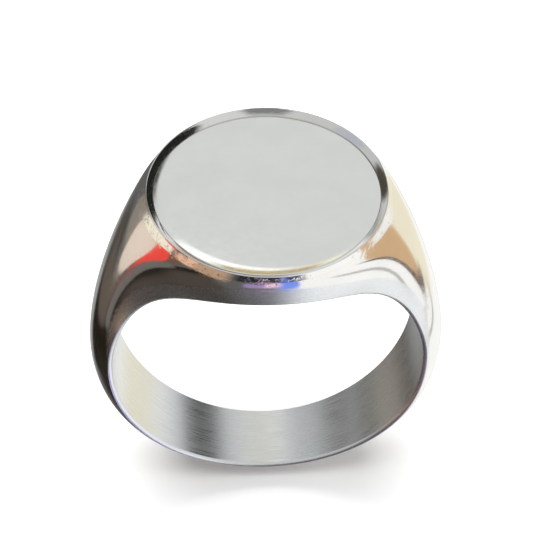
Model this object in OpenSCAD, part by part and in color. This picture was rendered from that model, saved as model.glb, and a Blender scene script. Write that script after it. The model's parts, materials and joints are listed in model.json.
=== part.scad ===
// Signet ring, built up at the bench from separate soldered pieces.
// An oval table plate is let into a raised rim on a solid head. Two wide
// shoulders fall away from the head and taper into a D-section shank, and a
// thin sleeve with the finger hole lines the whole ring.
//
// Units are millimetres. The origin is the centre of the finger hole, +Y runs
// along the hole, +Z points up through the middle of the table and +X points
// towards the right shoulder. Ring angles are measured from +Z about the hole.
//
// Above the centre of the hole the outside of the ring is a stack of level
// contours. Each is an oval that is pinched between the middle and the
// shoulder's crest, so it has a reach across the finger, a half length along
// it and a pinch. Below the centre the lowest contour's section runs on round
// the hoop.

/* [Finger hole] */
// inside diameter of the ring
bore_d = 18; // [15:0.1:22]
// wall thickness of the sleeve
liner_t = 0.4; // [0.3:0.05:0.5]
// easing on the sleeve's two inner edges
ease = 0.3; // [0.1:0.05:0.4]

/* [Table] */
// height of the table's face above the centre of the finger hole
table_z = 11.05; // [10.8:0.05:12]
// table's length along the finger
table_len = 13.5; // [11:0.1:15]
// table's width across the finger, as a share of its length
oval = 0.926; // [0.85:0.002:1]
// thickness of the table plate
plate_t = 0.5; // [0.4:0.05:0.7]
// how far the plate's edge is rolled over by polishing
plate_roll = 0.04; // [0.01:0.01:0.08]

/* [Rim] */
// width of the rim outside the table, at the front and back
rim_w = 0.5; // [0.3:0.05:0.8]
// height of the rim above the table
rim_h = 0.26; // [0.1:0.02:0.4]
// depth of the rim's foot below the table's face
rim_foot = 0.1; // [0.05:0.05:0.2]
// softening of the rim's top edge
rim_round = 0.12; // [0.05:0.01:0.18]

/* [Shoulders] */
// lean of the shoulder just below the rim, from the vertical
side_lean = 40.5; // [15:0.5:48]
// fullness of the shoulder's crest near the rim
crest_top = 0.12; // [0.1:0.01:0.3]
// fullness of the shoulder's crest near the finger's level
crest_low = 0.39; // [0.2:0.01:0.5]
// height at which the shoulders are pinched the most
waist_z = 4.8; // [4.5:0.1:6]
// half length of the contour at the waist, before the pinch
waist_b = 6.12; // [5.8:0.02:6.8]
// pinch of the contour at the waist
waist_pinch = 1.03; // [0.5:0.01:1.2]
// how much of the pinch is filled out again towards the crest
crest_fill = 1.3; // [1:0.05:1.3]
// height of the joint between the head and the shoulders
joint_z = 7.2; // [6.5:0.1:8]

/* [Shank] */
// radius of the crest of the hoop
crest_r = 10.37; // [9.9:0.01:10.8]
// half length of the hoop's contour, which sets its width
leg_b = 4.8; // [3.5:0.05:5.5]
// fullness of the hoop's D-section
leg_full = 1.9; // [1:0.1:4]
// width of the shank at the bottom, as a share of its width at the sides
foot_share = 0.8; // [0.6:0.05:1]

/* [Joints] */
// thickness of each solder seam
solder_t = 0.08; // [0.05:0.01:0.12]

/* [Fineness] */
// steps round a quarter of the table
oval_steps = 24; // [12:1:30]
// steps across half of the D-section
dome_steps = 12; // [8:1:16]
// height between neighbouring contours
level_step = 0.4; // [0.2:0.05:0.8]
// ring angle between neighbouring sections of the shank
ring_step = 3; // [2:0.5:6]

/* [Hidden] */
$fn = 96;
bore_r = bore_d / 2;
body_r = bore_r + liner_t;
root_r = body_r - 0.35;
table_b = table_len / 2;
rim_b = table_b + rim_w;
rim_a = rim_b * oval;
rim_top = table_z + rim_h;
wall_top = rim_top - rim_round;
foot_z = table_z - rim_foot;
seat_z = foot_z - solder_t;
pocket_z = table_z - plate_t - solder_t;
// the rim's wall, which the head carries on below the seat
function wall_a(z) = rim_a + (wall_top - z) * tan(side_lean);
function wall_b(z) = rim_b + (wall_top - z) * 0.02;
seat_a = wall_a(seat_z);
seat_b = wall_b(seat_z);
shank_seam = solder_t / crest_r * 180 / PI;
overrun = 0.5;

silver = [0.90, 0.89, 0.87];
satin = [0.74, 0.74, 0.73];
seam = [0.82, 0.81, 0.77];

// ---- the outside of the ring ----

function mix(a, b, t) = a + (b - a) * t;
function smooth(t) = let (u = min(max(t, 0), 1)) u * u * (3 - 2 * u);

// a quantity that passes from the leg through the waist to the seat
function blend(z, leg, waist, seat) = z > waist_z
    ? mix(waist, seat, smooth((z - waist_z) / (seat_z - waist_z)))
    : mix(leg, waist, smooth(z / waist_z));

// the shoulder's crest is a cubic curve from the seat down to the finger's level
function cubic(a, b, c, d, t) =
    pow(1 - t, 3) * a + 3 * pow(1 - t, 2) * t * b + 3 * (1 - t) * t * t * c + pow(t, 3) * d;
function crest(t) = cubic(
    [seat_a, seat_z],
    [seat_a, seat_z] + crest_top * seat_z * [sin(side_lean), -cos(side_lean)],
    [crest_r, crest_low * seat_z],
    [crest_r, 0], t);

// reach of the contour across the finger at a height, found by halving
function reach(z, lo = 0, hi = 1, n = 22) = z <= 0 ? crest_r : n == 0 ? crest(lo)[0] :
    let (mid = (lo + hi) / 2)
    crest(mid)[1] > z ? reach(z, mid, hi, n - 1) : reach(z, lo, mid, n - 1);

// half length of the contour at a height, at a share s of its squared reach
function oval_half(z, s) = blend(z, leg_b, waist_b, seat_b)
    * (1 - blend(z, 0, waist_pinch, 0) * s * (1 - crest_fill * s))
    * sqrt(max(1 - pow(s, blend(z, leg_full, 1, 1)), 0));

// narrowing of the shank at a ring angle past the finger's level
function narrow(p) = mix(1, foot_share, (1 - cos(2 * (p - 90))) / 2);

// half width of the ring at any point across it
function half_w(x, z) = z >= 0
    ? oval_half(z, min(pow(x / reach(z), 2), 1))
    : narrow(atan2(abs(x), z)) * oval_half(0, min((x * x + z * z) / pow(crest_r, 2), 1));

// how far out the ring goes at a height
function extent(z) = z >= 0 ? reach(z) : sqrt(crest_r * crest_r - z * z);

// ---- skins ----

// closed skin through rows of points, each row the outline of one section
module skin(rows, closed = false) {
    n = len(rows[0]);
    m = len(rows);
    sides = [for (i = [0:closed ? m - 1 : m - 2], j = [0:n - 1])
        let (k = (i + 1) % m, a = i * n + j, b = i * n + (j + 1) % n, c = k * n + (j + 1) % n, d = k * n + j)
        each (j < n / 2 ? [[a, b, c], [a, c, d]] : [[a, b, d], [b, c, d]])];
    ends = closed ? [] : [[for (j = [n - 1:-1:0]) j], [for (j = [0:n - 1]) (m - 1) * n + j]];
    polyhedron(points = [for (r = rows, q = r) q], faces = concat(sides, ends), convexity = 6);
}

// [x, y] outline of one shoulder at a height, from inside the sleeve out to the crest and back
function lobe(z) =
    let (x0 = sqrt(root_r * root_r - z * z), x1 = extent(z),
         half = [for (j = [0:dome_steps]) let (x = mix(x0, x1, sin(90 * j / dome_steps)))
             [x, j == dome_steps ? 0 : half_w(x, z)]])
    concat([for (q = half) [q[0], -q[1]]], [for (j = [dome_steps - 1:-1:0]) half[j]]);

// skin of the right-hand lobes between two heights
module lobes(z0, z1, side = 1) {
    n = ceil((z1 - z0) / level_step);
    skin([for (i = [0:n]) let (z = mix(z0, z1, i / n), row = lobe(z), m = len(row) - 1)
        [for (j = [0:m]) let (q = side > 0 ? row[m - j] : row[j]) [side * q[0], q[1], z]]]);
}

// level slab outside the sleeve, on one side of the ring
module slab(z0, z1, side) {
    difference() {
        translate([side > 0 ? 0 : -12, -9, z0]) cube([12, 18, z1 - z0]);
        rotate([90, 0, 0]) cylinder(r = body_r, h = 30, center = true);
    }
}

// length of shoulder between two heights
module shoulder(z0, z1, side) {
    intersection() {
        lobes(z0 - overrun, z1 + overrun, side);
        slab(z0, z1, side);
    }
}

// length of the hoop between two ring angles, each at least 90
module hoop(a, b) {
    n = ceil((b - a + 4) / ring_step);
    row = lobe(0);
    intersection() {
        skin([for (i = [0:n]) let (p = mix(a - 2, b + 2, i / n), k = narrow(min(max(p, 90), 270)))
            [for (q = row) [q[0] * sin(p), k * q[1], q[0] * cos(p)]]]);
        multmatrix([[0, 1, 0, 0], [0, 0, 1, 0], [1, 0, 0, 0], [0, 0, 0, 1]])
            rotate([0, 0, a]) rotate_extrude(angle = b - a)
                polygon([[body_r, -9], [12, -9], [12, 9], [body_r, 9]]);
    }
}

// stack of ovals, each given as [half width, half length, height]
module ovals(levels, ring = false) {
    n = 4 * oval_steps;
    rows = [for (i = [0:n - 1]) [for (l = levels)
        [-l[0] * sin(i * 360 / n), l[1] * cos(i * 360 / n), l[2]]]];
    if (ring) skin(rows, closed = true);
    else skin([for (j = [0:len(levels) - 1]) [for (i = [n - 1:-1:0]) rows[i][j]]]);
}

// level of such a stack with the table's own proportions
function at(b, z) = [b * oval, b, z];

// ---- the pieces ----

// sleeve with the finger hole, cut flush with the ring's sides and eased inside
module liner() {
    steps = [for (a = [0:22.5:90]) [ease * (cos(a) - 1), bore_r + 0.25 - 0.3 * sin(a)]];
    color(satin) intersection() {
        rotate([90, 0, 0]) difference() {
            cylinder(r = body_r, h = 20, center = true);
            cylinder(r = bore_r, h = 21, center = true);
        }
        skin([for (p = [0:ring_step:359.9])
            let (outer = [for (r = [body_r + 0.2, body_r - 0.05]) [half_w(r * sin(p), r * cos(p)), r]],
                 w = half_w(steps[0][1] * sin(p), steps[0][1] * cos(p)),
                 half = concat(outer, [for (e = steps) [w + e[0], e[1]]]),
                 m = len(half) - 1)
            [for (q = concat([for (h = half) [-h[0], h[1]]], [for (j = [m:-1:0]) half[j]]))
                [-q[1] * sin(p), q[0], q[1] * cos(p)]]], closed = true);
    }
}

// solid head, with a flat seat for the rim and a pocket for the table plate
module head() {
    n = 4 * oval_steps;
    z0 = joint_z - overrun;
    m = ceil((seat_z - z0) / level_step);
    color(silver) difference() {
        intersection() {
            skin([for (i = [0:m]) let (z = mix(z0, seat_z, i / m), a = extent(z))
                [for (j = [n - 1:-1:0]) let (x = -a * sin(j * 360 / n), c = cos(j * 360 / n))
                    [x, abs(c) < 0.001 ? 0 : sign(c) * half_w(x, z), z]]]);
            translate([-12, -9, joint_z]) cube([24, 18, 9]);
        }
        rotate([90, 0, 0]) cylinder(r = body_r, h = 30, center = true);
        ovals([at(table_b, pocket_z), at(table_b, seat_z + 1)]);
    }
}

module left_shoulder() {
    color(silver) shoulder(0, joint_z - solder_t, -1);
}

module right_shoulder() {
    color(silver) shoulder(0, joint_z - solder_t, 1);
}

// lower half of the hoop, one strip of D-section
module shank() {
    color(silver) hoop(90 + shank_seam, 270 - shank_seam);
}

// raised rim round the table, dished on the inside and rounded on top
module bezel_rim() {
    color(silver) ovals(concat(
        [[wall_a(foot_z), wall_b(foot_z), foot_z]],
        [for (a = [0:30:90]) let (c = rim_round * (1 - cos(a)))
            [rim_a - c, rim_b - c, wall_top + rim_round * sin(a)]],
        [at(rim_b - rim_round - 0.08, rim_top - 0.02), at(table_b, table_z), at(table_b, foot_z)]),
        ring = true);
}

// oval table plate with a softly rolled edge
module table_plate() {
    color(silver) ovals([at(table_b, table_z - plate_t), at(table_b, table_z - plate_roll),
                         at(table_b - 0.25, table_z - plate_roll / 4), at(table_b - 0.6, table_z)]);
}

// film of solder that holds the table plate in its pocket
module table_solder() {
    color(seam) ovals([at(table_b, pocket_z), at(table_b, table_z - plate_t)]);
}

// film of solder between the head's seat and the rim
module rim_solder() {
    color(seam) ovals([[seat_a, seat_b, seat_z], [wall_a(foot_z), wall_b(foot_z), foot_z],
                       at(table_b, foot_z), at(table_b, seat_z)], ring = true);
}

// seams between the head and the two shoulders
module shoulder_solder() {
    color(seam) for (side = [-1, 1]) shoulder(joint_z - solder_t, joint_z, side);
}

// seams between the two shoulders and the shank
module shank_solder() {
    color(seam) for (a = [90, 270 - shank_seam]) hoop(a, a + shank_seam);
}

liner();
head();
left_shoulder();
right_shoulder();
shank();
bezel_rim();
table_plate();
table_solder();
rim_solder();
shoulder_solder();
shank_solder();
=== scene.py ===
import json
import math

import bpy
import numpy as np
from mathutils import Matrix, Vector


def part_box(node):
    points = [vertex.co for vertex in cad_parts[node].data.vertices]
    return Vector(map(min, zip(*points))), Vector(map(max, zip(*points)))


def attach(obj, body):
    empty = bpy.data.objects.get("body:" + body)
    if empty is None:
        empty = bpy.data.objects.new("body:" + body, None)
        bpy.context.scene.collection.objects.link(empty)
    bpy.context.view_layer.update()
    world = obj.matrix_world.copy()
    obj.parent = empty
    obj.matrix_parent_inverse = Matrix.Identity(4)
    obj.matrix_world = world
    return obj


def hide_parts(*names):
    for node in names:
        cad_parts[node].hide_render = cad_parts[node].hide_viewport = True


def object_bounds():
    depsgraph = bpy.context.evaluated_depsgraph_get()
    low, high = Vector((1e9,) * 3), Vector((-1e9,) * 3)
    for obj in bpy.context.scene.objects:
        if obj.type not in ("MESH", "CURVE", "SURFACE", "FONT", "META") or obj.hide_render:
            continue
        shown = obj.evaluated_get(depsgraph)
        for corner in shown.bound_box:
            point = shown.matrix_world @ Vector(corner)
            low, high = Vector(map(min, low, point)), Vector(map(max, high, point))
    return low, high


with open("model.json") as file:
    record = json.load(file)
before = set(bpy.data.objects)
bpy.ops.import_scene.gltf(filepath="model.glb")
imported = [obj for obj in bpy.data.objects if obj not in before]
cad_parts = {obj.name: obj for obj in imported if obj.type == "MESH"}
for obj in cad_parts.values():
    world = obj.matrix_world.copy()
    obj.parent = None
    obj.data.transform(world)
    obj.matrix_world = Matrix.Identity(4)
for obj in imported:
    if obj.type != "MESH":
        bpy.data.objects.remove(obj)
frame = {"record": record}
cad_low, cad_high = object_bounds()

# Signet ring. Every piece is rebuilt at a fine pitch from the surfaces that the
# CAD nodes follow, and stands for its node. Shapes are worked out in millimetres
# and become metres in build(). +X is the right shoulder, -Y the front, +Z the table.
MM = 0.001


def corner(node, high):
    """Lowest or highest corner of a CAD node, in millimetres."""
    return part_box(node)[1 if high else 0] / MM


# ---- sizes, from the frame ----
mounts = {m["name"]: m for m in frame["record"]["mounts"]}
BORE_R = mounts["finger_bore"]["dims"]["r_mm"]
TABLE_Z = mounts["table_face"]["pos_m"][2] / MM
BODY_R = corner("liner", True).x
CREST_R = -corner("shank", False).z
JOINT_Z = corner("head", False).z
SHOULDER_Z = corner("left_shoulder", True).z
SEAT_A, SEAT_B = corner("rim_solder", True).x, corner("rim_solder", True).y
SEAT_Z = corner("rim_solder", False).z
FOOT_Z = corner("bezel_rim", False).z
RIM_TOP = corner("bezel_rim", True).z
TABLE_A, TABLE_B = corner("table_plate", True).x, corner("table_plate", True).y
PLATE_Z = corner("table_plate", False).z
POCKET_Z = corner("table_solder", False).z
SEAM_ANGLE = (JOINT_Z - SHOULDER_Z) / CREST_R
RIGHT, LEFT = math.pi / 2, 3 * math.pi / 2  # ring angles of the finger's level, from the top

# ---- shape of the outside, as in the CAD source ----
SIDE_LEAN = math.radians(40.5)    # lean of the shoulder under the rim
CREST_TOP, CREST_LOW = 0.12, 0.39  # fullness of the crest at its two ends
WAIST_Z, WAIST_B = 4.8, 6.12      # height and half length of the waist
WAIST_PINCH = 1.03                # how far the waist is drawn in
CREST_FILL = 1.3                  # how much of that is filled out again at the crest
LEG_B, LEG_FULL = 4.8, 1.9        # half length and fullness of the hoop
FOOT_SHARE = 0.8                  # the hoop's width at the bottom
EASE = 0.3                        # radius of the sleeve's eased inner edges
EASE_TOP = 0.25                   # where the easing starts, above the bore
RIM_ROUND = 0.06                  # radius of the rim's top edge
RIM_FALL = 0.02                   # slope of the rim's wall at the front
DISH_B = 0.02                     # flat of the rim before its dish
DISH_DROP = 0.02                  # height that the flat loses before the dish
DISH_CURVE = 1.15                 # how late the dish drops: 1 is a straight slope
PLATE_ROLL = 0.04                 # how far the table's edge is rolled over
ROLL_WIDTH = 0.6                  # width of that roll

# ---- how finely the shape is divided ----
STATIONS = 44                     # points from the sleeve out to the crest
RING_STEPS = 360                  # steps round the finger hole
OVAL_STEPS = 4 * (STATIONS - 1)   # steps round the table
HEAD_ROWS = 20                    # rows between the sleeve's top and the seat
RIM_WALL_ROWS, RIM_TOP_ROWS = 6, 9  # rows up the rim's wall, and over its edge
DISH_ROWS = 8                     # rows from there down to the table
ROLL_ROWS, TABLE_ROWS = 5, 12     # rows over the table's rolled edge, and on to its centre
EASE_ROWS, SLEEVE_ROWS = 9, 4     # rows over the sleeve's eased edge, and down its side
HALVINGS = 40                     # steps of the search in reach()
SLOPE_STEP = 0.002                # step over which the outside's slope is taken
WELD_DIGITS = 5                   # points are one if they agree to this many decimals

# ---- finish of the metal, in millimetres ----
BUMP_DEPTH = 0.004                # depth of a height of 1 in the bump
CLOUD_SCALE, FILM_SCALE = 0.45, 2.6  # waves per millimetre of the polish and its film
SATIN_LOW, SATIN_HIGH = 0.15, 1.4  # reach of the satin band, on the hoop and under the table
SATIN_TOP = 0.83                  # height above the finger's level, in radii, where it is full
SATIN_EDGE = 0.12                 # softness of the band's upper edge
BRUSH_LONG, BRUSH_FINE = 5, 22    # waves of the brushed lines, per radian along and mm across
NICK_SCALE, NICK_DEPTH = 4.5, -1.2  # waves per millimetre and height of the file marks
NICK_LOW, NICK_TOP = 0.4, 0.05    # depth under the seat where they start, and where they are full
NICK_IN, NICK_OUT = 1.064, 1.069  # the same sideways, in sizes of the table's oval
SEAM_BACK = (0.5, 5.5)            # the painted shade line at the table's edge fades over this stretch of y
WORN = (0.72, 0.71, 0.69, 1)      # colour of scratched metal
# Bluish tint of the satin band: a painted blue-grey sheen over the brushed metal.
SATIN_SHEEN = (0.80, 0.84, 0.88, 1)
# Colour of the painted shade in the joint between the table and its rim.
SEAM_SHADE = (0.20, 0.18, 0.15, 1)
# Scratches of wear: turn and tilt in degrees, pitch, length, and how rare they are.
WEAR = (
    (18, 8, 0.045, 2.6, 0.66), (97, -14, 0.04, 2.0, 0.67),
    (-38, 22, 0.055, 3.4, 0.68), (141, 35, 0.03, 1.3, 0.68),
)


# ---- the surface ----
def mix(a, b, t):
    return a + (b - a) * t


def smooth(t):
    t = np.clip(t, 0, 1)
    return t * t * (3 - 2 * t)


def through(z, leg, waist, seat):
    """A quantity that passes from the leg through the waist to the seat."""
    upper = mix(waist, seat, smooth((z - WAIST_Z) / (SEAT_Z - WAIST_Z)))
    return np.where(z > WAIST_Z, upper, mix(leg, waist, smooth(z / WAIST_Z)))


def crest(t):
    """Reach and height along the shoulder's crest, from the seat to the finger's level."""
    lean = CREST_TOP * SEAT_Z
    across = (SEAT_A, SEAT_A + lean * math.sin(SIDE_LEAN), CREST_R, CREST_R)
    height = (SEAT_Z, SEAT_Z - lean * math.cos(SIDE_LEAN), CREST_LOW * SEAT_Z, 0)
    weights = ((1 - t) ** 3, 3 * (1 - t) ** 2 * t, 3 * (1 - t) * t * t, t ** 3)
    return (sum(w * a for w, a in zip(weights, across)),
            sum(w * h for w, h in zip(weights, height)))


def reach(z):
    """Half width across the finger at a height, found by halving."""
    low, high = np.zeros_like(z), np.ones_like(z)
    for _ in range(HALVINGS):
        middle = (low + high) / 2
        above = crest(middle)[1] > z
        low, high = np.where(above, middle, low), np.where(above, high, middle)
    return crest(low)[0]


def narrow(x, z):
    """Narrowing of the shank at a point below the finger's level."""
    angle = np.arctan2(np.abs(x), z)
    return mix(1, FOOT_SHARE, (1 - np.cos(2 * angle - math.pi)) / 2)


def width_squared(x, z):
    """Square of the ring's half length at a point across it. It falls through zero at the crest."""
    level = np.maximum(z, 0)
    share = (x / reach(level)) ** 2
    pinch = through(level, 0, WAIST_PINCH, 0) * share * (1 - CREST_FILL * share)
    length = through(level, LEG_B, WAIST_B, SEAT_B) * (1 - pinch)
    upper = length ** 2 * (1 - share ** through(level, LEG_FULL, 1, 1))
    lower = (narrow(x, z) * LEG_B) ** 2 * (1 - ((x * x + z * z) / CREST_R ** 2) ** LEG_FULL)
    return np.where(z >= 0, upper, lower)


def half_width(x, z):
    return np.sqrt(np.maximum(width_squared(x, z), 0))


def skin_normals(points):
    """Outward normals of the outside, from the slope of width_squared."""
    h = SLOPE_STEP
    x, y, z = np.moveaxis(points, -1, 0)
    above, below = np.minimum(z + h, SEAT_Z), z - h
    along_x = (width_squared(x + h, z) - width_squared(x - h, z)) / (2 * h)
    along_z = (width_squared(x, above) - width_squared(x, below)) / (above - below)
    return unit(np.stack([-along_x, 2 * y, -along_z], -1))


def unit(v):
    return v / np.maximum(np.linalg.norm(v, axis=-1, keepdims=True), 1e-12)


# ---- patches: a grid of points and the normals it is shaded with ----
def patch(points, normals):
    return points, np.broadcast_to(np.asarray(normals, float), points.shape)


def strip(one, other, normals):
    """Ruled patch between two rows of points."""
    return patch(np.stack([one, other]), normals)


def ring_patch(rows):
    """Patch through closed rows of points, shaded from its own slope. rows is [round][along]."""
    rows = np.asarray(rows)
    round_it = np.roll(rows, -1, 0) - np.roll(rows, 1, 0)
    normals = unit(np.cross(round_it, np.gradient(rows, axis=1)))
    closed = np.concatenate([rows, rows[:1]])
    return closed, np.concatenate([normals, normals[:1]])


def faces_of(points, normals, base):
    """Quads of one patch, turned so that they face the way of its normals."""
    n, m = points.shape[:2]
    ids = base + np.arange(n * m).reshape(n, m)
    quads = np.stack([ids[:-1, :-1], ids[1:, :-1], ids[1:, 1:], ids[:-1, 1:]], -1)
    across = points[1:, 1:] - points[:-1, :-1]
    other = points[:-1, 1:] - points[1:, :-1]
    facing = (np.cross(across, other) * normals[:-1, :-1]).sum()
    quads = quads.reshape(-1, 4)
    return quads if facing > 0 else quads[:, ::-1]


def welded(patches):
    """One set of vertices, faces and corner normals out of patches that share their edges."""
    points = np.concatenate([p.reshape(-1, 3) for p, _ in patches])
    normals = np.concatenate([n.reshape(-1, 3) for _, n in patches])
    base, quads = 0, []
    for p, n in patches:
        quads.append(faces_of(p, n, base))
        base += p.shape[0] * p.shape[1]
    _, first, same = np.unique(np.round(points, WELD_DIGITS), axis=0,
                               return_index=True, return_inverse=True)
    same = same.reshape(-1)
    faces, corners = [], []
    for quad in np.concatenate(quads):
        kept = [c for k, c in enumerate(quad) if same[c] != same[quad[k - 1]]]
        if len(kept) > 2:
            faces.append([int(same[c]) for c in kept])
            corners += kept
    return points[first], faces, normals[corners]


def build(name, patches, material):
    """The piece that stands for the CAD node of the same name."""
    points, faces, corners = welded(patches)
    mesh = bpy.data.meshes.new(name)
    mesh.from_pydata((points * MM).tolist(), [], faces)
    mesh.update()
    mesh.shade_smooth()
    mesh.normals_split_custom_set(corners.tolist())
    piece = bpy.data.objects.new(name + "_finish", mesh)
    bpy.context.scene.collection.objects.link(piece)
    mesh.materials.append(material)
    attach(piece, "root")
    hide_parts(name)


# ---- parts of the outside ----
def heights(low, high):
    """Heights of the rows between two levels, close together where the sleeve's top curves over."""
    arc = np.arccos(np.clip(np.array([low, high]) / BODY_R, 0, 1))
    steps = max(int(math.degrees(arc[0] - arc[1])), 1)
    rows = BODY_R * np.cos(np.linspace(arc[0], arc[1], steps + 1))
    rows[0], rows[-1] = low, min(high, BODY_R)
    if high > BODY_R:
        rows = np.concatenate([rows, np.linspace(BODY_R, high, HEAD_ROWS)[1:]])
    return rows


def quarter(rows, side, front):
    """Points on a quarter of the outside, from the sleeve or the middle out to the crest."""
    z = np.repeat(np.asarray(rows)[:, None], STATIONS, 1)
    spread = np.sin(np.linspace(0, math.pi / 2, STATIONS))
    x = mix(np.sqrt(np.maximum(BODY_R ** 2 - z ** 2, 0)), reach(z), spread)
    y = half_width(x, z)
    y[:, -1] = 0
    return np.stack([side * x, front * y, z], -1)


def lobe(low, high, side):
    """Closed patches of one side of the ring between two levels, outside the sleeve."""
    front, back = (quarter(heights(low, high), side, way) for way in (-1, 1))
    inner = unit(front[:, :1] * (-1, 0, -1))
    return [patch(front, skin_normals(front)), patch(back, skin_normals(back)),
            strip(front[-1], back[-1], (0, 0, 1)), strip(front[0], back[0], (0, 0, -1)),
            patch(np.stack([front[:, 0], back[:, 0]], 1), np.repeat(inner, 2, 1))]


def hoop(start, end):
    """Closed patches of the hoop between two ring angles, below the finger's level."""
    steps = max(int(math.degrees(end - start)), 1)
    angle = np.linspace(start, end, steps + 1)[:, None]
    out = np.sin(np.linspace(0, math.pi / 2, STATIONS))
    radius = mix(BODY_R, CREST_R, out)
    x, z = radius * np.sin(angle), radius * np.cos(angle)
    y = half_width(x, np.minimum(z, -1e-9))
    y[:, -1] = 0
    front, back = np.stack([x, -y, z], -1), np.stack([x, y, z], -1)
    inner = -np.stack([np.sin(angle), 0 * angle, np.cos(angle)], -1)
    along = np.array([math.cos(start), 0, -math.sin(start)])
    ahead = np.array([math.cos(end), 0, -math.sin(end)])
    return [patch(front, skin_normals(front)), patch(back, skin_normals(back)),
            strip(front[0], back[0], -along), strip(front[-1], back[-1], ahead),
            patch(np.stack([front[:, 0], back[:, 0]], 1), np.repeat(inner, 2, 1))]


def oval(a, b, z):
    """Closed row of points round an oval, starting at the front."""
    angle = np.linspace(0, 2 * math.pi, OVAL_STEPS, endpoint=False)
    return np.stack([a * np.sin(angle), -b * np.cos(angle), np.full(OVAL_STEPS, float(z))], -1)


def table_oval(b, z):
    """Oval in the table's proportions."""
    return oval(b * TABLE_A / TABLE_B, b, z)


def oval_wall(low, high, inside=False):
    """Upright wall between two ovals of the same size."""
    rows = np.stack([low, high], 1)
    points, normals = ring_patch(rows)
    outward = (normals[..., :2] * points[..., :2]).sum() > 0
    return points, normals * (-1 if outward == inside else 1)


def oval_floor(outer, inner, up):
    """Level face between two ovals, or an oval and its centre."""
    rows = np.stack([outer, inner], 1)
    closed = np.concatenate([rows, rows[:1]])
    return patch(closed, (0, 0, 1 if up else -1))


# ---- the pieces ----
def head():
    """Block under the table, with the seat of the rim and the pocket of the table."""
    rows = heights(JOINT_Z, SEAT_Z)
    patches = []
    for side in (-1, 1):
        sheets = [quarter(rows, side, way) for way in (-1, 1)]
        patches += [patch(s, skin_normals(s)) for s in sheets]
        patches.append(strip(sheets[0][0], sheets[1][0], (0, 0, -1)))
        arch = [s[rows <= BODY_R + 1e-9, 0] for s in sheets]
        inner = unit(arch[0] * (-1, 0, -1))
        patches.append(patch(np.stack(arch, 1), np.stack([inner, inner], 1)))
    seat = oval(SEAT_A, SEAT_B, SEAT_Z)
    pocket_top, pocket = table_oval(TABLE_B, SEAT_Z), table_oval(TABLE_B, POCKET_Z)
    patches += [oval_floor(seat, pocket_top, True), oval_wall(pocket, pocket_top, inside=True),
                oval_floor(pocket, pocket * (0, 0, 1), True)]
    return patches


def rim():
    """Raised rim: wall, rounded top edge, and a dish down to the table."""
    lean = math.tan(SIDE_LEAN)
    wall_top = RIM_TOP - RIM_ROUND
    top_a = SEAT_A - (wall_top - SEAT_Z) * lean
    top_b = SEAT_B - (wall_top - SEAT_Z) * RIM_FALL
    profile = [(top_a + (wall_top - z) * lean, top_b + (wall_top - z) * RIM_FALL, z)
               for z in np.linspace(FOOT_Z, wall_top, RIM_WALL_ROWS)]
    for turn in np.linspace(0, math.pi / 2, RIM_TOP_ROWS)[1:]:
        c = RIM_ROUND * (1 - math.cos(turn))
        profile.append((top_a - c, top_b - c, wall_top + RIM_ROUND * math.sin(turn)))
    share = TABLE_A / TABLE_B
    dish_b = top_b - RIM_ROUND - DISH_B
    for t in np.linspace(0, 1, DISH_ROWS):
        b = mix(dish_b, TABLE_B, t)
        z = mix(RIM_TOP - DISH_DROP, TABLE_Z, t ** DISH_CURVE)
        profile.append((b * share, b, z))
    rows = np.stack([oval(*p) for p in profile], 1)
    points, normals = ring_patch(rows)
    if (normals[0, 0] * (0, -1, 0)).sum() < 0:
        normals = -normals
    foot_out, foot_in = oval(*profile[0]), table_oval(TABLE_B, FOOT_Z)
    return [(points, normals), oval_floor(foot_out, foot_in, False),
            oval_wall(foot_in, table_oval(TABLE_B, TABLE_Z), inside=True)]


def plate():
    """Flat table whose edge is rolled over by polishing."""
    spread = np.concatenate([np.linspace(0, 1, ROLL_ROWS),
                             np.linspace(1, TABLE_B / ROLL_WIDTH, TABLE_ROWS)[1:]])
    levels = []
    for t in spread:
        b = TABLE_B - ROLL_WIDTH * t
        levels.append((b, TABLE_Z - PLATE_ROLL * max(1 - t, 0) ** 2))
    face = np.stack([table_oval(b, z) for b, z in levels], 1)
    points, normals = ring_patch(face)
    normals = normals * np.sign(normals[..., 2:].sum())
    normals[:, -1] = (0, 0, 1)
    low, top = table_oval(TABLE_B, PLATE_Z), face[:, 0]
    return [(points, normals), oval_wall(low, top), oval_floor(low, low * (0, 0, 1), False)]


def plate_solder():
    """Film of solder between the table and the floor of its pocket."""
    low, top = table_oval(TABLE_B, POCKET_Z), table_oval(TABLE_B, PLATE_Z)
    return [oval_floor(top, top * (0, 0, 1), True), oval_wall(low, top),
            oval_floor(low, low * (0, 0, 1), False)]


def rim_seam():
    """Film of solder between the seat and the rim."""
    rise = FOOT_Z - SEAT_Z
    low = oval(SEAT_A, SEAT_B, SEAT_Z)
    top = oval(SEAT_A - rise * math.tan(SIDE_LEAN), SEAT_B - rise * RIM_FALL, FOOT_Z)
    low_in, top_in = table_oval(TABLE_B, SEAT_Z), table_oval(TABLE_B, FOOT_Z)
    return [oval_wall(low, top), oval_wall(low_in, top_in, inside=True),
            oval_floor(low, low_in, False), oval_floor(top, top_in, True)]


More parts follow.
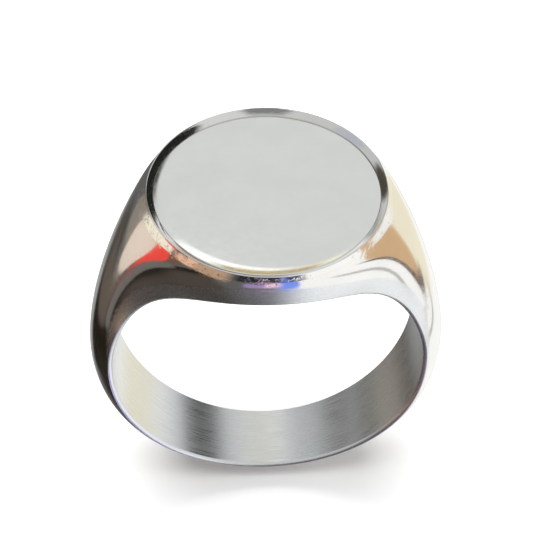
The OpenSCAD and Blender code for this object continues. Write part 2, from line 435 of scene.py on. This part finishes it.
def sleeve():
    """Sleeve with the finger hole. Its sides carry on the outside, its inner edges are eased."""
    angle = np.linspace(0, 2 * math.pi, RING_STEPS, endpoint=False)[:, None]

    def at(radius, back):
        return np.stack([radius * np.sin(angle), back, radius * np.cos(angle)], -1)[:, 0]

    def edge(radius):
        return half_width(radius * np.sin(angle), radius * np.cos(angle))

    patches = []
    start = BORE_R + EASE_TOP
    width = edge(start)
    turns = np.linspace(0, math.asin(EASE_TOP / EASE), EASE_ROWS)
    inward = -at(1, 0 * angle)
    inward = np.concatenate([inward, inward[:1]])
    for front in (-1, 1):
        side = np.stack([at(r, front * edge(r))
                         for r in np.linspace(BODY_R, start, SLEEVE_ROWS)], 1)
        closed = np.concatenate([side, side[:1]])
        patches.append(patch(closed, skin_normals(closed)))
        rolled = np.stack([at(start - EASE * math.sin(a), front * (width + EASE * (math.cos(a) - 1)))
                           for a in turns], 1)
        points, normals = ring_patch(rolled)
        if (normals[..., 1] * front).sum() < 0:
            normals = -normals
        patches.append((points, normals))
    ends = [p[:, -1] for p, _ in (patches[1], patches[3])]
    walls = [p[:, 0] for p, _ in (patches[0], patches[2])]
    patches.append(patch(np.stack(ends, 1), np.stack([inward, inward], 1)))
    patches.append(patch(np.stack(walls, 1), np.stack([-inward, -inward], 1)))
    return patches


# ---- materials ----
class Graph:
    """Short calls for building a node tree. A link is made wherever a value is a socket."""

    def __init__(self, tree):
        self.tree = tree

    def node(self, kind, settings=None, **values):
        made = self.tree.nodes.new("ShaderNode" + kind)
        for name, value in (settings or {}).items():
            setattr(made, name, value)
        for name, value in values.items():
            self.feed(made.inputs[name.replace("_", " ")], value)
        return made

    def feed(self, socket, value):
        if isinstance(value, bpy.types.NodeSocket):
            self.tree.links.new(value, socket)
        else:
            socket.default_value = value

    def math(self, operation, *values):
        made = self.node("Math", {"operation": operation})
        for socket, value in zip(made.inputs, values):
            self.feed(socket, value)
        return made.outputs[0]

    def vector(self, operation, *values):
        made = self.node("VectorMath", {"operation": operation})
        for socket, value in zip(made.inputs, values):
            self.feed(socket, value)
        return made.outputs["Value" if operation in ("LENGTH", "DOT_PRODUCT") else "Vector"]

    def span(self, value, low, high, to_low=0.0, to_high=1.0, kind="SMOOTHSTEP"):
        """Value taken from one range to another, held at the ends."""
        made = self.node("MapRange", {"interpolation_type": kind}, Value=value, From_Min=low,
                         From_Max=high, To_Min=to_low, To_Max=to_high)
        return made.outputs["Result"]

    def blend(self, factor, one, other):
        """Colour between two colours."""
        made = self.node("Mix", {"data_type": "RGBA"})
        for name, value in (("Factor_Float", factor), ("A_Color", one), ("B_Color", other)):
            self.feed(next(s for s in made.inputs if s.identifier == name), value)
        return next(s for s in made.outputs if s.identifier == "Result_Color")

    def noise(self, where, scale, detail=2.0, rough=0.5):
        made = self.node("TexNoise", Vector=where, Scale=scale, Detail=detail, Roughness=rough)
        return made.outputs[0]


def millimetres(g):
    """Place on the ring in millimetres, and its three parts."""
    where = g.vector("SCALE", g.node("TexCoord").outputs["Object"])
    where.node.inputs["Scale"].default_value = 1 / MM
    parts = g.node("SeparateXYZ", Vector=where).outputs
    return where, parts[0], parts[1], parts[2]


def scratches(g, where, turn, tilt, pitch, length, rarity):
    """Fine straight scratches that lie one way, broken into short lengths."""
    turned = g.node("Mapping", Vector=where, Rotation=(math.radians(tilt), 0, math.radians(turn)),
                    Scale=(1 / length, 1 / pitch, 1 / pitch))
    lines = g.noise(turned.outputs[0], 1.0, 1.0)
    return g.span(lines, rarity, rarity + 0.07)


def handling(g, where, amount):
    """Scratches from wear in four directions."""
    marks = 0.0
    for scratch in WEAR:
        marks = g.math("ADD", marks, scratches(g, where, *scratch))
    return g.math("MULTIPLY", marks, amount)


def brushing(g, x, y, z, radius):
    """Lines that run round the finger hole, as a wheel in the hole leaves them."""
    across = g.math("DIVIDE", x, radius)
    up = g.math("DIVIDE", z, radius)
    place = g.node("CombineXYZ", X=g.math("MULTIPLY", across, BRUSH_LONG),
                   Y=g.math("MULTIPLY", up, BRUSH_LONG),
                   Z=g.math("MULTIPLY", radius, BRUSH_FINE)).outputs[0]
    lines = g.node("TexNoise", {"noise_dimensions": "4D"}, Vector=place,
                   W=g.math("MULTIPLY", y, BRUSH_FINE), Scale=1.0, Detail=2.0)
    return lines.outputs[0]


def satin_band(g, z, radius, film):
    """1 in the satin band round the finger hole, and 0 outside it."""
    rise = g.span(g.math("DIVIDE", z, radius), 0, SATIN_TOP, SATIN_LOW, SATIN_HIGH, "LINEAR")
    out = g.math("SUBTRACT", g.math("SUBTRACT", radius, BORE_R), rise)
    out = g.math("ADD", out, g.math("MULTIPLY", g.math("SUBTRACT", film, 0.5), 0.25))
    return g.span(out, -SATIN_EDGE, SATIN_EDGE, 1, 0)


def file_marks(g, where, z, share):
    """Height of the file marks on the metal beside and under the rim."""
    nicks = g.span(g.noise(where, NICK_SCALE, 2.0), 0.56, 0.70)
    beside = g.math("MULTIPLY", g.span(z, SEAT_Z - NICK_LOW, SEAT_Z - NICK_TOP),
                    g.span(share, NICK_IN, NICK_OUT))
    return g.math("MULTIPLY", g.math("MULTIPLY", nicks, beside), NICK_DEPTH)


def table_line(g, y, share, film, line):
    """1 in the painted shade line between the table and its rim, fainter towards the back."""
    off = g.math("ABSOLUTE", g.math("SUBTRACT", share, 1))
    off = g.math("ADD", off, g.math("MULTIPLY", g.math("SUBTRACT", film, 0.5), line * 0.8))
    return g.math("MULTIPLY", g.span(off, line * 0.4, line, 1, 0), g.span(y, *SEAM_BACK, 1, 0.3))


def silver(name, tint, gloss, satin=None, wear=1.0, waves=1.2, line=None, filed=False):
    """Silver with a hand polish.

    gloss is the roughness of the polished metal and satin that of the band round the finger
    hole. wear is the strength of the scratches, and waves that of the swells in the polish.
    line is the half width of the painted shade line between the table and its rim, as a share of the
    table. filed adds the file marks beside the rim.
    """
    material = bpy.data.materials.new(name)
    material.use_nodes = True
    g = Graph(material.node_tree)
    shader = material.node_tree.nodes["Principled BSDF"]
    shader.inputs["Metallic"].default_value = 1.0
    where, x, y, z = millimetres(g)
    clouds = g.noise(where, CLOUD_SCALE, 3.0)
    film = g.noise(where, FILM_SCALE, 4.0, 0.6)
    marks = handling(g, where, wear)
    share = g.vector("LENGTH", g.node("CombineXYZ", X=g.math("DIVIDE", x, TABLE_A),
                                      Y=g.math("DIVIDE", y, TABLE_B)).outputs[0])

    colour = g.blend(g.span(clouds, 0.3, 0.7), [c * 0.965 for c in tint] + [1], list(tint) + [1])
    colour = g.blend(g.math("MULTIPLY", marks, 0.12), colour, WORN)
    rough = g.span(film, 0.3, 0.75, gloss * 0.7, gloss * 1.5)
    rough = g.math("ADD", rough, g.math("MULTIPLY", marks, 0.09))
    height = g.math("ADD", g.math("MULTIPLY", clouds, waves), g.math("MULTIPLY", marks, -0.12))
    if filed:
        height = g.math("ADD", height, file_marks(g, where, z, share))
    if satin:
        radius = g.vector("LENGTH", g.node("CombineXYZ", X=x, Z=z).outputs[0])
        band = satin_band(g, z, radius, film)
        lines = brushing(g, x, y, z, radius)
        dull = g.span(lines, 0.3, 0.7, satin * 0.85, satin * 1.2)
        rough = g.math("ADD", g.math("MULTIPLY", rough, g.math("SUBTRACT", 1, band)),
                       g.math("MULTIPLY", dull, band))
        # painted blue-grey sheen over the satin band
        colour = g.blend(g.math("MULTIPLY", band, 0.6), colour, SATIN_SHEEN)
        height = g.math("ADD", height, g.math("MULTIPLY", g.math("MULTIPLY", lines, band), 0.25))
    if line:
        # Painted shade along the joint between the table and its rim: the colour is darker there, and
        # the metal a little rougher.
        seam = table_line(g, y, share, film, line)
        colour = g.blend(g.math("MULTIPLY", seam, 0.8), colour, SEAM_SHADE)
        rough = g.math("ADD", rough, g.math("MULTIPLY", seam, 0.25))
    bump = g.node("Bump", Height=height, Strength=1.0, Distance=BUMP_DEPTH * MM)
    g.feed(shader.inputs["Base Color"], colour)
    g.feed(shader.inputs["Roughness"], rough)
    g.feed(shader.inputs["Normal"], bump.outputs[0])
    return material


body_metal = silver("silver_polished", (0.93, 0.925, 0.91), 0.07, satin=0.30, filed=True)
rim_metal = silver("rim_polished", (0.94, 0.935, 0.92), 0.05, line=0.006, filed=True)
table_metal = silver("table_polished", (0.925, 0.93, 0.925), 0.09, wear=0.3, waves=0.4, line=0.005)
sleeve_metal = silver("sleeve_satin", (0.88, 0.88, 0.87), 0.16, satin=0.30)
solder_metal = silver("solder_polished", (0.92, 0.91, 0.89), 0.08, satin=0.30, filed=True)

build("liner", sleeve(), sleeve_metal)
build("head", head(), body_metal)
build("left_shoulder", lobe(0, SHOULDER_Z, -1), body_metal)
build("right_shoulder", lobe(0, SHOULDER_Z, 1), body_metal)
build("shank", hoop(RIGHT + SEAM_ANGLE, LEFT - SEAM_ANGLE), body_metal)
build("bezel_rim", rim(), rim_metal)
build("table_plate", plate(), table_metal)
build("table_solder", plate_solder(), solder_metal)
build("rim_solder", rim_seam(), solder_metal)
build("shoulder_solder", lobe(SHOULDER_Z, JOINT_Z, -1) + lobe(SHOULDER_Z, JOINT_Z, 1),
      solder_metal)
build("shank_solder", hoop(RIGHT, RIGHT + SEAM_ANGLE) + hoop(LEFT - SEAM_ANGLE, LEFT),
      solder_metal)


# ---- floor, light and camera ----
FLOOR_HALF, FLOOR_GAP = 1.5, 0.00002  # metres
LAMP_SIZE, LAMP_ENERGY, LAMP_PLACE = 1.4, 15, (-0.1, 0.1, 0.9)


def floor():
    """Pale floor under the ring. The metal doesn't reflect it, it reflects the world."""
    mesh = bpy.data.meshes.new("floor")
    size, z = FLOOR_HALF, cad_low.z - FLOOR_GAP
    corners = [(-size, -size, z), (size, -size, z), (size, size, z), (-size, size, z)]
    mesh.from_pydata(corners, [], [(0, 1, 2, 3)])
    piece = bpy.data.objects.new("floor", mesh)
    bpy.context.scene.collection.objects.link(piece)
    material = bpy.data.materials.new("pale_floor")
    material.use_nodes = True
    shader = material.node_tree.nodes["Principled BSDF"]
    shader.inputs["Base Color"].default_value = (0.93, 0.93, 0.93, 1)
    shader.inputs["Roughness"].default_value = 0.9
    shader.inputs["Specular IOR Level"].default_value = 0.0
    mesh.materials.append(material)
    piece.visible_glossy = False


def camera():
    """Camera at the ring's three-quarter view from above the front."""
    turn, lift, roll = math.radians(-2.78), math.radians(44.68), math.radians(0.45)
    tip, swing = math.radians(2.306), math.radians(-0.02)
    distance, focal_px, frame_px = 0.09994, 1686, 533
    back = Vector((math.sin(turn) * math.cos(lift), -math.cos(turn) * math.cos(lift), math.sin(lift)))
    right = Vector((math.cos(turn), math.sin(turn), 0))
    basis = Matrix((right, back.cross(right), back)).transposed().to_4x4()
    aim = Matrix.Rotation(tip, 4, "X") @ Matrix.Rotation(swing, 4, "Y")
    data = bpy.data.cameras.new("camera")
    data.sensor_width = 36
    data.lens = data.sensor_width * focal_px / frame_px
    data.clip_start, data.clip_end = 0.001, 10
    eye = bpy.data.objects.new("camera", data)
    eye.matrix_world = Matrix.Translation(back * distance) @ basis @ Matrix.Rotation(roll, 4, "Z") @ aim
    bpy.context.scene.collection.objects.link(eye)
    bpy.context.scene.camera = eye


# What stands round the ring, as soft-edged panels of light or shade, each painted over the ones
# before it: bearing (0 is +Y, 90 is +X), height, half width and half height in degrees, turn of
# the panel in degrees, softness of its edge, and brightness for red, green and blue.
PANELS = (
    ("left_shade", -80, -39, 42, 12, 0, 0.20, (0.017, 0.013, 0.009)),
    ("left_haze", -58, -29, 22, 5, 0, 0.70, (0.12, 0.10, 0.08)),
    ("left_floor", -88, -61, 24, 15, 0, 0.50, (0.030, 0.026, 0.020)),
    ("left_dim", -114, -47, 14, 15, 0, 0.70, (0.075, 0.060, 0.052)),
    ("left_grey", -92, -26.5, 8, 4.5, 0, 0.60, (0.16, 0.15, 0.14)),
    ("left_copper", -126, -22, 20, 5, -46, 0.50, (0.52, 0.34, 0.22)),
    ("left_brown", -99, -12, 6, 12, 0, 0.60, (0.15, 0.095, 0.07)),
    ("left_red", -86, -12, 8, 11, 0, 0.15, (0.90, 0.080, 0.058)),
    ("left_door", -50, -8, 9, 12, 0, 0.25, (0.27, 0.24, 0.20)),
    ("left_wall", -68, -10, 12, 12.5, -3, 0.10, (0.80, 0.67, 0.56)),
    ("left_cream", -80, 2, 26, 3, 0, 0.40, (0.95, 0.88, 0.72)),
    ("left_peach", -106, -7.5, 11, 3.5, -46, 0.50, (0.84, 0.50, 0.33)),
    ("left_dark", -52, 9, 9, 6.5, 0, 0.50, (0.035, 0.028, 0.016)),
    ("front_dark", 180, -37.5, 26, 3.5, 0, 0.30, (0.020, 0.020, 0.022)),
    ("front_blue", 162, -46, 7, 6.5, 0, 0.40, (0.20, 0.32, 0.95)),
    ("front_pink", -178, -45.5, 9, 4, 0, 0.60, (0.90, 0.62, 0.80)),
    ("front_lilac", -166, -46, 7, 4, 0, 0.70, (0.36, 0.27, 0.50)),
    ("right_cream", 47, -18, 17, 14, 0, 0.25, (0.90, 0.84, 0.66)),
    ("right_tan", 80, -15, 17, 12, 0, 0.20, (0.66, 0.44, 0.25)),
    ("right_edge", 82, -27.5, 18, 1.3, 0, 0.70, (0.16, 0.12, 0.09)),
    ("right_streak", 88, -40, 26, 2, 12, 0.60, (0.50, 0.50, 0.49)),
    ("far_dark", 46, 33, 35, 10, -48, 0.20, (0.016, 0.018, 0.015)),
    ("back_brown", 5, -16, 5, 8, 0, 0.50, (0.22, 0.18, 0.14)),
    ("back_grey", -18, -41, 12, 9, 0, 0.60, (0.36, 0.365, 0.36)),
    ("high_grey", 180, 88, 10, 10, 0, 0.60, (0.22, 0.225, 0.22)),
    ("high_blue", -66, 50, 9, 8, 0, 0.60, (0.47, 0.49, 0.55)),
    ("left_high", -38, 22, 9, 12, 0, 0.60, (0.07, 0.06, 0.045)),
    ("back_white", -6, -2, 7, 12, 0, 0.50, (0.90, 0.90, 0.88)),
    ("table_grey", 2, 36, 24, 15, 0, 0.25, (0.69, 0.70, 0.685)),
    ("table_white", -5.5, 50, 7, 4.3, 27, 0.35, (1.20, 1.20, 1.17)),
    ("table_cream", 11, 53.5, 9, 4, 0, 0.50, (0.98, 0.94, 0.74)),
    ("table_tan", 3, 54, 6, 3, 0, 0.40, (0.52, 0.40, 0.20)),
    ("back_line", 8, 12, 7, 8, 0, 0.50, (0.22, 0.17, 0.12)),
    ("table_side", -18, 31, 7, 8, 0, 0.40, (0.06, 0.06, 0.045)),
)


def toward(bearing, height):
    """Unit vector at a bearing and height in degrees."""
    a, h = math.radians(bearing), math.radians(height)
    return Vector((math.sin(a) * math.cos(h), math.cos(a) * math.cos(h), math.sin(h)))


def panel(g, sight, under, spec):
    """One panel painted over the colour under it."""
    name, bearing, height, half_w, half_h, turn, soft, colour = spec
    middle = toward(bearing, height)
    side = toward(bearing + 90, 0)
    up = side.cross(middle)
    spin = Matrix.Rotation(math.radians(turn), 3, middle)
    side = spin @ side / math.sin(math.radians(half_w))
    up = spin @ up / math.sin(math.radians(half_h))
    across = g.vector("DOT_PRODUCT", sight, tuple(side))
    along = g.vector("DOT_PRODUCT", sight, tuple(up))
    place = g.node("CombineXYZ", X=across, Y=along).outputs[0]
    out = g.vector("LENGTH", g.vector("MULTIPLY", place, place))
    inside = g.span(out, 1 - soft, 1 + soft, 1, 0)
    ahead = g.math("GREATER_THAN", g.vector("DOT_PRODUCT", sight, tuple(middle)), 0)
    painted = g.blend(g.math("MULTIPLY", inside, ahead), under, (*colour, 1))
    painted.node.label = name
    return painted


# Plain surroundings behind the panels: below on the left and right, above on the left and right.
LOW_LEFT, LOW_RIGHT = (0.12, 0.118, 0.115, 1), (1.0, 1.0, 0.985, 1)
HIGH_LEFT, HIGH_RIGHT = (0.55, 0.56, 0.55, 1), (0.72, 0.72, 0.72, 1)


def light():
    """Surroundings that the metal reflects, and one large soft lamp overhead."""
    world = bpy.data.worlds.new("studio")
    bpy.context.scene.world = world
    world.use_nodes = True
    g = Graph(world.node_tree)
    sight = g.vector("NORMALIZE", g.node("TexCoord").outputs["Generated"])
    parts = g.node("SeparateXYZ", Vector=sight).outputs
    low = g.blend(g.span(parts[0], 0.0, 0.38), LOW_LEFT, LOW_RIGHT)
    high = g.blend(g.span(parts[0], -0.9, 0.9), HIGH_LEFT, HIGH_RIGHT)
    colour = g.blend(g.span(parts[2], -0.15, 0.25), low, high)
    for spec in PANELS:
        colour = panel(g, sight, colour, spec)
    g.feed(world.node_tree.nodes["Background"].inputs["Color"], colour)
    world.cycles.sampling_method = "NONE"
    bpy.context.scene.view_settings.view_transform = "Standard"

    lamp = bpy.data.lights.new("overhead", "AREA")
    lamp.shape, lamp.size, lamp.energy = "DISK", LAMP_SIZE, LAMP_ENERGY
    holder = bpy.data.objects.new("overhead", lamp)
    holder.location = LAMP_PLACE
    holder.rotation_euler = holder.location.normalized().to_track_quat("Z", "Y").to_euler()
    holder.visible_glossy = False
    bpy.context.scene.collection.objects.link(holder)


floor()
light()
camera()
